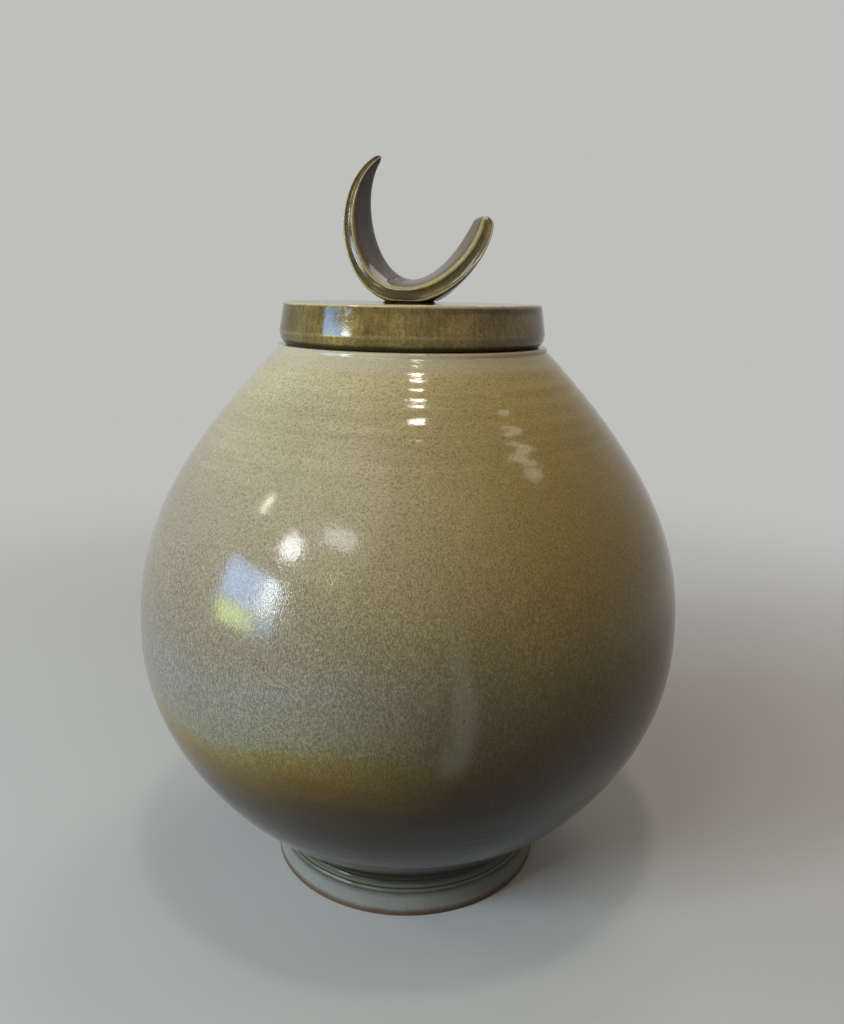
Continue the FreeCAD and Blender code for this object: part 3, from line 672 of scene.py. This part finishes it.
def olive_glaze(name, darker, lighter, thin_and_highlight_tone, breaking_and_highlight, pooled_and_shaded):
    """An olive glaze, cloudy between a darker and a lighter tone. The first function given is 1 where
    it runs thin over an edge, and on the finial also where a painted highlight lies, and there it
    turns to the tone given; the second is 1 where it gathers thick and dark, and on the lid also
    where painted shade lies."""
    recipe = Recipe(name)
    thin_and_highlight = breaking_and_highlight(recipe)
    pool_and_shade = pooled_and_shaded(recipe)
    clouds = recipe.noise(15.0, 4.0)
    colour = recipe.blend(clouds.ramp(-0.22, 0.22), darker, lighter)
    # Thick glaze, and on the lid also painted shade.
    colour = recipe.blend(pool_and_shade, colour, tone(44, 37, 18))
    mottle = recipe.noise(0.7, 3.0)
    streaks = recipe.noise(1.1, 2.0, (1.0, 1.0, 9.0), 3.0)
    colour = recipe.scaled(colour, 1.0 + mottle * 2.0 + streaks * 1.1)
    brown = recipe.noise(1.6, 2.0, shift=5.0).ramp(0.06, 0.24) * 0.35
    colour = recipe.blend(brown, colour, tone(82, 66, 38))
    net = recipe.cells(2.6, "DISTANCE_TO_EDGE", 0.9).ramp(0.05, 0.0)
    colour = recipe.blend(net * 0.25, colour, tone(60, 50, 30))
    colour = recipe.blend(recipe.specks(0.7, 4.0, 0.2) * 0.85, colour, tone(42, 32, 20))
    # Thin glaze at the edges, and on the finial also a painted highlight on the lips.
    colour = recipe.blend(thin_and_highlight, colour, thin_and_highlight_tone)
    relief = recipe.noise(9.0, 2.0) * 0.02 + mottle * 0.012 - net * 0.003
    return recipe.finish(colour, 0.06 + mottle * 0.04 + net * 0.05, relief,
                         Specular_IOR_Level=OLIVE_SPECULAR)


def lid_breaking(recipe):
    """Thin on the rounded top edge, ragged by a few tenths, and faintly along the widest line."""
    ragged = recipe.noise(2.2, 2.0) * 0.5 + recipe.noise(12.0, 2.0) * 0.6
    edge = abs(recipe.height + ragged - (LID_TOP - 0.3)).ramp(1.0, 0.3)
    side = recipe.radius.ramp(LID_RADIUS - LID_LEAN - 1.9, LID_RADIUS - LID_LEAN - 0.7)
    waist = abs(recipe.height + ragged * 0.7 - LID_WIDEST).ramp(1.1, 0.1) * 0.16
    return edge * side + waist


def lid_pool_and_shade(recipe):
    """Thick along the bottom edge and in a runny line under the top edge that grows towards the
    right. Painted shade adds to the dark of the bottom edge, and makes the top and the far left
    darker."""
    ragged = recipe.noise(9.0, 3.0) * 2.6
    # Painted shade: the bottom edge is partly shadow, and the top and the far left are darkened.
    bottom = (recipe.height + ragged * 0.35).ramp(LID_SEAT + 2.4, LID_SEAT + 0.9)
    under = abs(recipe.height + ragged - (LID_TOP - 2.2)).ramp(1.6, 0.3)
    side = recipe.radius.ramp(LID_RADIUS - LID_LEAN - 1.0, LID_RADIUS - LID_LEAN + 0.1)
    top = recipe.radius.ramp(LID_RADIUS - LID_LEAN - 1.0, LID_RADIUS - LID_LEAN - 3.0)
    left = recipe.x.ramp(-28.0, -52.0) * 0.55
    return bottom * 0.9 + under * side * recipe.x.ramp(-50.0, 50.0) * 0.6 + top * 0.45 + left


lid_glaze = olive_glaze("lid_glaze", tone(108, 86, 34), tone(152, 129, 70), tone(198, 180, 130),
                        lid_breaking, lid_pool_and_shade)
ring_inside = RING_OUTSIDE - RING_WALL
hollow_top = LID_TOP - LID_CLAY
lid_hollow = softened([(0.0, hollow_top), (ring_inside, hollow_top), (ring_inside, LID_SEAT)],
                      HOLLOW_ROUNDING)
lid_side = softened([(GLAZE_STOP, LID_SEAT), (LID_RADIUS - LID_UNDERCUT, LID_SEAT),
                     (LID_RADIUS - LID_BEAD, LID_SEAT + LID_BEAD_RISE),
                     (LID_RADIUS + LID_SWELL, LID_WIDEST), (LID_RADIUS - LID_LEAN, LID_TOP),
                     (LID_RADIUS - LID_EDGE, LID_TOP)], LID_ROUNDING)
lid = skin("glazed_lid_plate", [
    turned(recut(lid_hollow, 1.2)),
    turned([(ring_inside, LID_SEAT), (RING_OUTSIDE, LID_SEAT)]),
    turned(recut([(RING_OUTSIDE, LID_SEAT), (GLAZE_STOP, LID_SEAT)], 1.0)),
    turned(np.concatenate([recut(lid_side, 0.28), recut([lid_side[-1], (0.0, LID_TOP)], 1.6)[1:]]),
           lid_relief),
], [bare_clay, bare_clay, bare_clay, lid_glaze], closed=False)
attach(lid, "lid")
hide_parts("lid_plate")

# Locating ring. A low ring of bare clay turned under the lid, which keeps the lid centred in the
# mouth. Its lower edge is rounded with a wet sponge.
RING_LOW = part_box("lid_flange")[0][2] / MM
RING_ROUNDING = 0.6
ring_turn = softened([(ring_inside, LID_SEAT), (ring_inside, RING_LOW), (RING_OUTSIDE, RING_LOW),
                      (RING_OUTSIDE, LID_SEAT)], RING_ROUNDING)
ring = skin("bare_locating_ring", [turned(recut(ring_turn, 0.4)), turned(ring_turn[[-1, 0]])],
            bare_clay)
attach(ring, "lid")
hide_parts("lid_flange")

# Finial pad. A button of clay flattened under the finial where it is luted to the lid. Its edge
# is smeared down and the glaze fills the corner, so it ends in a soft skirt.
PAD_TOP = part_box("finial_pad")[1][2] / MM
PAD_RADIUS = 11.0
PAD_SKIRT = ((0.9, LID_TOP), (-0.1, LID_TOP + 0.05), (-0.3, PAD_TOP), (-1.6, PAD_TOP))
STRAP_TURN = math.radians(-14.0)
STRAP_FOOT = -1.7


def on_lid(across, depth, height):
    """Points of the finial's own plane, across and behind it, turned with it on the lid."""
    cosine, sine = math.cos(STRAP_TURN), math.sin(STRAP_TURN)
    return np.stack([across * cosine - depth * sine, across * sine + depth * cosine, height], axis=-1)


pad_skirt = curved(*((PAD_RADIUS + past, height) for past, height in PAD_SKIRT))
pad_top = recut([pad_skirt[-1], (0.0, PAD_TOP)], 2.0)
pad_bands = [turned(recut([(0.0, LID_TOP), pad_skirt[0]], 3.0)),
             turned(np.concatenate([recut(pad_skirt, 0.15), pad_top[1:]]))]
pad_middle = on_lid(STRAP_FOOT, 0.0, 0.0)
pad = skin("smeared_finial_pad", [(points + pad_middle, facing) for points, facing in pad_bands],
           lid_glaze, closed=False)
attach(pad, "lid")
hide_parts("finial_pad")

# Crescent finial. A strap of clay cut from a slab, tapered and bent up into a tall sharp horn and
# a short blunt one. Its front edge is pressed hollow between two lips where the glaze runs thin,
# and the pale lips are partly a painted highlight.
FOOT_RISE = 2.8
FRONT_WIDTH = 14.0
BACK_WIDTH = 11.5
FRONT_THICKNESS = 6.6
BACK_THICKNESS = 13.0
FOOT_TOE = math.radians(1.4)
SECTION_POWER = 4.2
STRAP_COLUMNS = 168
FRONT_EDGE = (-0.72, -0.93)
GROOVE_DEPTH = 1.2
GROOVE_START = (0.02, 0.2)
FOOT_GROOVE = 0.35
LIP_PLACE = 0.78
LIP_RISE = 0.22
TALL_LENGTH = 74.0
CRACK_UP = 9.8
CRACK_HALF = 9.3
CRACK_BRANCH = -0.8
BRANCH_END = 0.35
CRACK_WIDTH = 0.20
CRACK_DEPTH = 0.45
CRACK_SPAN = (0.115, 0.15)
TALL_ROWS = 260
SHORT_ROWS = 170
TIP_ROWS = 12
CRACK_ROWS = 40
TALL_CROWDING = 1.15
SHORT_CROWDING = 1.25
TIP_SPAN = 0.005
# For each horn: the side it leans to, its tip across the lid and above the pad, how far the poles
# of its centre line reach, the tip's angle, width and thickness, how late it thins and narrows,
# its toe in degrees, the share that closes over at the tip, and its swell half way along.
HORNS = {
    "tall": dict(side=-1.0, tip=(-14.1, 56.2), foot_reach=24.1, tip_reach=21.0, angle=34.7,
                 width=0.8, thickness=1.9, thinning=1.9, power=2.1, toe=10.0, cap=0.035, swell=0.0),
    "short": dict(side=1.0, tip=(29.3, 33.2), foot_reach=15.8, tip_reach=13.1, angle=82.7,
                  width=4.4, thickness=5.6, thinning=2.6, power=3.1, toe=26.0, cap=0.075, swell=0.7),
}


def section_corners():
    """Places round one section, evenly spaced by length but three times closer on the front
    edge: a softened rectangle |p|^n + |q|^n = 1, with p from front to back and q outwards."""
    angle = np.linspace(0.0, math.tau, 6001)
    soft = 2.0 / SECTION_POWER
    outward = np.sign(np.cos(angle)) * np.abs(np.cos(angle)) ** soft
    depth = np.sign(np.sin(angle)) * np.abs(np.sin(angle)) ** soft
    step = np.hypot(np.diff(outward) * FRONT_THICKNESS / 2, np.diff(depth) * FRONT_WIDTH)
    closeness = 1.0 + 2.0 * eased(-0.6, -0.9, (depth[1:] + depth[:-1]) / 2)
    run = np.concatenate([[0.0], np.cumsum(step * closeness)])
    places = np.linspace(0.0, run[-1], STRAP_COLUMNS, endpoint=False)
    return np.interp(places, run, outward), np.interp(places, run, depth)


def crack_share(share, behind):
    """1 along a firing crack across the inside of the tall horn and its short branch to the foot,
    falling off as a bell with the distance from their lines."""
    up = share * TALL_LENGTH
    main = np.abs(up - CRACK_UP - 0.35 * np.sin(behind * 0.9) - 0.2 * np.sin(behind * 2.3))
    main = main + np.maximum(np.abs(behind) - CRACK_HALF, 0.0)
    along = np.clip(up / CRACK_UP, BRANCH_END, 1.0)
    branch = np.hypot(behind - CRACK_BRANCH + 0.3 * np.sin(up * 1.7), up - along * CRACK_UP)
    return np.exp(-(np.minimum(main, branch) / CRACK_WIDTH) ** 2)


def centre_line(sizes, share):
    """The middle of the strap at shares of one horn, a cubic curve from its foot to its tip, and
    the direction square to the curve that points out of the crescent."""
    lean = math.radians(sizes["angle"])
    foot = np.array([STRAP_FOOT, PAD_TOP + FOOT_RISE])
    tip = np.array([sizes["tip"][0], PAD_TOP + sizes["tip"][1]])
    first = foot + [sizes["side"] * sizes["foot_reach"], 0.0]
    second = tip - sizes["tip_reach"] * np.array([math.cos(lean), math.sin(lean)])
    t = share[:, None]
    along = ((first - foot) * (1 - t) ** 2 + (second - first) * 2 * (1 - t) * t
             + (tip - second) * t ** 2)
    along /= np.linalg.norm(along, axis=1, keepdims=True)
    outward = sizes["side"] * np.stack([along[:, 1], -along[:, 0]], axis=1)
    return curved(foot, first, second, tip, share), outward


def horn_rows(horn, share):
    """The strap at shares of one horn, from its foot to its tip. The widths and thicknesses go
    from foot to tip by a power of the share, the section leans by its toe, and the last few
    hundredths close over as a quarter ellipse. The front edge is hollowed as a parabola between
    its lips, shallow at the foot, and a crack is cut into the tall horn. Returns the points and
    how thin the glaze runs there, below 0 in a hollow."""
    sizes = HORNS[horn]
    place, outward = centre_line(sizes, share)
    t = share[:, None]
    closing = np.sqrt(np.maximum(1.0 - (np.maximum(share - 1.0 + sizes["cap"], 0.0)
                                        / sizes["cap"]) ** 2, 0.0))[:, None]
    narrowing = t ** sizes["power"]
    front = (FRONT_WIDTH + (sizes["width"] - FRONT_WIDTH) * narrowing) * closing
    back = (BACK_WIDTH + (sizes["width"] - BACK_WIDTH) * narrowing) * closing
    thinning = t ** sizes["thinning"]
    swell = sizes["swell"] * 4.0 * t * (1.0 - t)
    front_half = (FRONT_THICKNESS + (sizes["thickness"] - FRONT_THICKNESS) * thinning + swell) / 2
    back_half = (BACK_THICKNESS + (sizes["thickness"] - BACK_THICKNESS) * narrowing) / 2
    toe = np.tan(FOOT_TOE + (math.radians(sizes["toe"]) - FOOT_TOE) * t)
    q, p = section_corners()
    behind = (back - front) / 2 + (back + front) / 2 * p
    back_share = (p + 1.0) / 2.0
    half = (front_half * (1 - back_share) + back_half * back_share) * closing
    off = half * q - behind * toe
    crack = crack_share(share[:, None], behind) * (q < -0.3) if horn == "tall" else 0.0 * half
    off = off + CRACK_DEPTH * crack
    front_edge = eased(*FRONT_EDGE, p)
    across = np.abs(q) / LIP_PLACE
    groove = GROOVE_DEPTH * np.maximum(1.0 - across ** 2, 0.0) - LIP_RISE * eased(0.75, 1.1, across)
    groove = groove * (FOOT_GROOVE + (1.0 - FOOT_GROOVE) * eased(*GROOVE_START, t))
    behind = behind + groove * front_edge * closing * front_half / (FRONT_THICKNESS / 2)
    points = on_lid(place[:, :1] + outward[:, :1] * off, behind, place[:, 1:] + outward[:, 1:] * off)
    points[:, :, 2] = np.maximum(points[:, :, 2], PAD_TOP)
    thin = front_edge * (eased(0.55, 0.9, across) - eased(0.72, 0.28, across)) - 1.5 * crack
    return points, thin


# The rows lie closer towards each tip, closest in the last of the tall one, and at the crack.
even_shares = 1.0 - np.linspace(0.0, 1.0, TALL_ROWS) ** TALL_CROWDING
tip_shares = 1.0 - TIP_SPAN * np.linspace(0.0, 1.0, TIP_ROWS) ** 2
crack_shares = np.linspace(*CRACK_SPAN, CRACK_ROWS)
below_tip = even_shares[even_shares < 1.0 - 1.2 * TIP_SPAN]
tall_shares = np.unique(np.concatenate([tip_shares, below_tip, crack_shares]))[::-1]
short_shares = 1.0 - (1.0 - np.linspace(0.0, 1.0, SHORT_ROWS)) ** SHORT_CROWDING
tall_points, tall_thin = horn_rows("tall", tall_shares)
short_points, short_thin = horn_rows("short", short_shares)
strap_points = np.concatenate([tall_points, short_points[1:]])
strap_thin = np.concatenate([tall_thin, short_thin[1:]])
strap_normals = normals_of(strap_points, np.zeros_like(strap_points))
strap_normals[0] = strap_normals[1]
strap_normals[-1] = strap_normals[-2]


def strap_breaking_and_highlight(recipe):
    """Thin where the mesh says that an edge stands proud, less so in the hollow between the two
    lips, and ragged by the glaze's own grain. The pale lips are partly thin glaze and partly a
    painted highlight."""
    thin = recipe.add("ShaderNodeAttribute", {"attribute_name": "thin"}, output="Fac")
    ragged = thin + recipe.noise(1.3, 3.0) * 0.9 + recipe.noise(9.0, 2.0) * 0.7
    # The lips lighten partly as a painted highlight.
    return ragged.ramp(0.0, 1.0) * 0.8 + ragged.ramp(-0.1, -0.7) * 0.08


def strap_pooled(recipe):
    """Thick round the foot, where it runs down both horns."""
    return (recipe.height + recipe.noise(6.0, 2.0) * 3.0).ramp(PAD_TOP + 3.0, PAD_TOP) * 0.5


finial_glaze = olive_glaze("finial_glaze", tone(52, 38, 10), tone(92, 70, 26), tone(188, 168, 112),
                           strap_breaking_and_highlight, strap_pooled)
finial = skin("crescent_strap_finial", [(strap_points, strap_normals)], finial_glaze, closed=False,
              thin=strap_thin)
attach(finial, "lid")
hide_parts("crescent_finial")

# Studio. A pale floor that fades into a pale backdrop, a window of four panes as the key, a wide
# soft box beside it, five small lamps that the glaze mirrors, and two weak lamps at the right and
# the back. The camera stands where the photograph was taken. Lengths here are in metres.
FLOOR_SIZE = 6.0
FLOOR_FADE = (200.0, 800.0)
BACKDROP = (0.52, 0.52, 0.5122, 1.0)
AMBIENT = (0.17, 0.1598, 0.136, 1.0)
FLOOR_BOUNCE = (0.18, 0.18, 0.18, 1.0)
PAPER = tone(210, 209, 205)
KEY_PLACE = (-1.16, -0.53, 0.32)
LAMP_AIM = Vector((0.0, 0.0, 0.13))


def seen(nodes):
    """1 for rays that show the surroundings: to the camera, in a reflection or through glass."""
    path = nodes.add("ShaderNodeLightPath", output="Is Camera Ray")
    return nodes.other(path, "Is Glossy Ray") + path + nodes.other(path, "Is Transmission Ray")


floor_recipe = Recipe("floor_paper")
shown = seen(floor_recipe)
far = floor_recipe.radius.ramp(*FLOOR_FADE)
sheet = floor_recipe.blend(shown, FLOOR_BOUNCE, PAPER)
matt = floor_recipe.add("ShaderNodeBsdfDiffuse", sockets={"Color": sheet})
glow = floor_recipe.add("ShaderNodeEmission", sockets={"Color": BACKDROP})
mixed = floor_recipe.add("ShaderNodeMixShader", sockets={0: far * shown, 1: matt, 2: glow})
floor_recipe.add("ShaderNodeOutputMaterial", sockets={"Surface": mixed})
floor_mesh = bpy.data.meshes.new("floor")
half_floor = FLOOR_SIZE / 2
floor_mesh.from_pydata([(-half_floor, -half_floor, 0.0), (half_floor, -half_floor, 0.0),
                        (half_floor, half_floor, 0.0), (-half_floor, half_floor, 0.0)], [], [(0, 1, 2, 3)])
floor = bpy.data.objects.new("floor", floor_mesh)
floor.data.materials.append(floor_recipe.material)
bpy.context.scene.collection.objects.link(floor)

world = bpy.data.worlds.new("studio")
bpy.context.scene.world = world
surroundings = NodeTree(world)
room = surroundings.blend(seen(surroundings), AMBIENT, BACKDROP)
light_from_room = surroundings.add("ShaderNodeBackground", sockets={"Color": room})
surroundings.add("ShaderNodeOutputWorld", sockets={"Surface": light_from_room})


def lamp(name, place, width, depth, radiance, colour, shape="RECTANGLE", shift=(0.0, 0.0)):
    """An area lamp that faces the jar's middle, with the brightness of its face given. The shift
    moves it sideways and up in its own plane."""
    light = bpy.data.lights.new(name, "AREA")
    light.shape = shape
    light.size = width
    light.size_y = depth
    area = width * depth * (math.pi / 4 if shape in ("DISK", "ELLIPSE") else 1.0)
    light.energy = radiance * area * math.pi
    light.color = colour
    holder = bpy.data.objects.new(name, light)
    aim = (LAMP_AIM - Vector(place)).to_track_quat("-Z", "Y")
    holder.location = Vector(place) + aim @ Vector((*shift, 0.0))
    holder.rotation_euler = aim.to_euler()
    holder.visible_camera = False
    bpy.context.scene.collection.objects.link(holder)


SKY, GARDEN, GLARE = (0.27, 0.52, 1.0), (0.74, 1.0, 0.34), (0.74, 0.88, 1.0)
PANES = {
    "wide_sky": (0.41, 0.30, 13.0, SKY, (-0.095, 0.09)),
    "narrow_sky": (0.17, 0.30, 27.0, GLARE, (0.215, 0.09)),
    "wide_garden": (0.41, 0.16, 11.0, GARDEN, (-0.095, -0.16)),
    "narrow_garden": (0.17, 0.16, 9.0, SKY, (0.215, -0.16))}
for pane, (width, depth, radiance, colour, shift) in PANES.items():
    lamp(pane, KEY_PLACE, width, depth, radiance, colour, shift=shift)
lamp("soft_box", (-0.80, -0.85, 1.25), 1.30, 1.30, 1.0, (1.0, 0.92, 0.80), "DISK")
lamp("round_lamp", (-0.91, -0.65, 0.78), 0.19, 0.19, 26.0, (0.90, 0.96, 1.0), "DISK")
lamp("ceiling_lamp", (0.05, -0.28, 1.40), 0.12, 0.12, 45.0, (1.0, 0.94, 0.84), "DISK")
lamp("far_lamp", (-0.61, -0.90, 1.01), 0.32, 0.15, 8.0, (0.94, 0.97, 1.0))
lamp("shelf_lamp", (-1.10, -0.24, 0.93), 0.05, 0.13, 28.0, (1.0, 0.94, 0.80))
lamp("candle_lamp", (-0.69, -1.08, 0.71), 0.035, 0.035, 36.0, (1.0, 0.90, 0.62), "DISK")
lamp("right_fill", (0.90, -0.15, 1.15), 0.16, 0.30, 3.5, (1.0, 0.90, 0.72))
lamp("back_fill", (0.50, 0.95, 1.45), 0.80, 0.80, 1.8, (1.0, 0.96, 0.90))

CAMERA_PLACE = (0.0, -0.36744, 0.25465)
LENS = 30.23
PITCH = math.radians(14.50)
ROLL = math.radians(0.946)
YAW = math.radians(0.810)
forward = Vector((math.sin(YAW) * math.cos(PITCH), math.cos(YAW) * math.cos(PITCH), -math.sin(PITCH)))
level_right = Vector((math.cos(YAW), -math.sin(YAW), 0.0))
level_up = level_right.cross(forward)
right = level_right * math.cos(ROLL) + level_up * math.sin(ROLL)
up = level_up * math.cos(ROLL) - level_right * math.sin(ROLL)
camera_data = bpy.data.cameras.new("camera")
camera_data.lens = LENS
camera_data.sensor_width = 36.0
camera = bpy.data.objects.new("camera", camera_data)
camera.matrix_world = Matrix([[right[k], up[k], -forward[k], CAMERA_PLACE[k]] for k in range(3)]
                             + [[0.0, 0.0, 0.0, 1.0]])
bpy.context.scene.collection.objects.link(camera)
bpy.context.scene.camera = camera
bpy.context.scene.view_settings.view_transform = "Standard"
